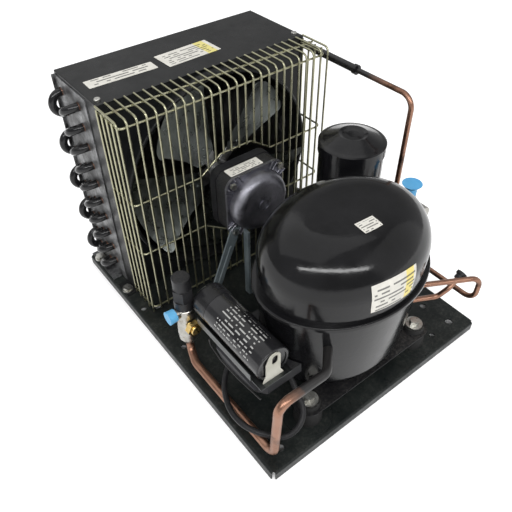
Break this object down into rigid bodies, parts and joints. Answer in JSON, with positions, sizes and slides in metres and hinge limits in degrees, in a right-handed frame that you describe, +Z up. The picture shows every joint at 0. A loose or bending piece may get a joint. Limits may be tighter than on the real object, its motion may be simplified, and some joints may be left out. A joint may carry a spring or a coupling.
{
  "type": "refrigeration condensing unit",
  "caption": "Air-cooled refrigeration condensing unit: hermetic compressor, finned condenser with guarded fan, liquid receiver, service valves and start capacitor on a flanged base pan.",
  "frame": {"origin": "centre of the base pan sheet, on the sheet's underside, which is where the unit is bolted", "axes": "+Z up, +Y from the compressor towards the condenser coil, +X to the right along the pan's front edge; the fan blows along Y"},
  "size_m": [0.328, 0.414, 0.2869],
  "materials": {
    "base_paint": "satin",
    "shell_gloss": "gloss",
    "zinc": "satin",
    "rubber_black": "matte",
    "stack_steel": "satin",
    "cast_iron": "matte",
    "black_plastic": "matte",
    "black_wire": "satin",
    "tray_zinc": "satin",
    "capacitor_case": "gloss",
    "tab_white": "matte",
    "casing_satin": "satin",
    "galvanised": "satin",
    "fin_aluminium": "satin",
    "copper": "satin",
    "black_pipe": "gloss",
    "blue_plastic": "satin",
    "nickel": "satin",
    "brass": "satin",
    "motor_alloy": "satin",
    "shaft_steel": "satin",
    "bracket_zinc": "satin",
    "blade_aluminium": "satin",
    "wire_zinc": "satin",
    "cord_rubber": "satin"
  },
  "bodies": {
    "unit": {"base_plate": "base_paint", "compressor_feet": "base_paint", "compressor_grommets": "rubber_black", "compressor_bolts": "zinc", "compressor_nuts": "zinc", "compressor_lower_shell": "shell_gloss", "compressor_upper_shell": "shell_gloss", "compressor_stator": "stack_steel", "compressor_block": "cast_iron", "compressor_springs": "zinc", "terminal_cover": "black_plastic", "cover_clip": "black_wire", "capacitor_tray": "tray_zinc", "start_capacitor": "capacitor_case", "capacitor_boot": "capacitor_case", "capacitor_tab": "tab_white", "condenser_hood": "casing_satin", "fan_shroud": "casing_satin", "coil_end_plate_left": "galvanised", "coil_end_plate_right": "galvanised", "fin_pack": "fin_aluminium", "coil_tubes": "copper", "return_bends_left": "black_pipe", "return_bends_right": "black_pipe", "inlet_header": "black_pipe", "outlet_header": "black_pipe", "receiver": "casing_satin", "suction_stub": "copper", "suction_tube": "copper", "discharge_line": "copper", "process_tube": "copper", "liquid_tube": "copper", "suction_valve_body": "nickel", "suction_gauge_nut": "brass", "liquid_valve_body": "brass", "motor_front_cap": "motor_alloy", "motor_stack": "stack_steel", "motor_rear_cap": "motor_alloy", "motor_bearings": "brass", "motor_screws": "zinc", "motor_bracket": "bracket_zinc", "guard_front": "wire_zinc", "guard_top": "wire_zinc", "guard_left": "wire_zinc", "guard_right": "wire_zinc", "hood_screws": "zinc", "base_bolts": "zinc", "power_cord": "cord_rubber"},
    "fan": {"motor_rotor": "stack_steel", "motor_shaft": "shaft_steel", "fan_hub": "shaft_steel", "fan_blades": "blade_aluminium", "fan_rivets": "blade_aluminium"},
    "crank": {"crankshaft": "cast_iron", "compressor_rotor": "stack_steel"},
    "suction_stem_cap": {"suction_valve_cap": "nickel"},
    "suction_port_cap": {"suction_port_plug": "blue_plastic"},
    "liquid_stem_cap": {"liquid_valve_cap": "nickel"},
    "liquid_port_cap": {"liquid_port_plug": "blue_plastic"},
    "process_cap": {"process_tube_cap": "blue_plastic"}
  },
  "joints": [
    {"name": "fan_spin", "type": "hinge", "parent": "unit", "child": "fan", "pos_m": [-0.00575, 0.097, 0.1398], "axis": [0, 1, 0], "continuous": true},
    {"name": "compressor_spin", "type": "hinge", "parent": "unit", "child": "crank", "pos_m": [-0.0064, -0.1253, 0.1], "axis": [0, 0, 1], "continuous": true},
    {"name": "suction_stem_cap_off", "type": "slide", "parent": "unit", "child": "suction_stem_cap", "axis": [0, 0, 1], "range_m": [0, 0.05]},
    {"name": "suction_port_cap_off", "type": "slide", "parent": "unit", "child": "suction_port_cap", "axis": [-1, 0, 0], "range_m": [0, 0.03]},
    {"name": "liquid_stem_cap_off", "type": "slide", "parent": "unit", "child": "liquid_stem_cap", "axis": [0, -1, 0], "range_m": [0, 0.03]},
    {"name": "liquid_port_cap_off", "type": "slide", "parent": "unit", "child": "liquid_port_cap", "axis": [0, 0, 1], "range_m": [0, 0.03]},
    {"name": "process_cap_off", "type": "slide", "parent": "unit", "child": "process_cap", "axis": [0.8389, -0.0181, 0.544], "range_m": [0, 0.02]}
  ]
}
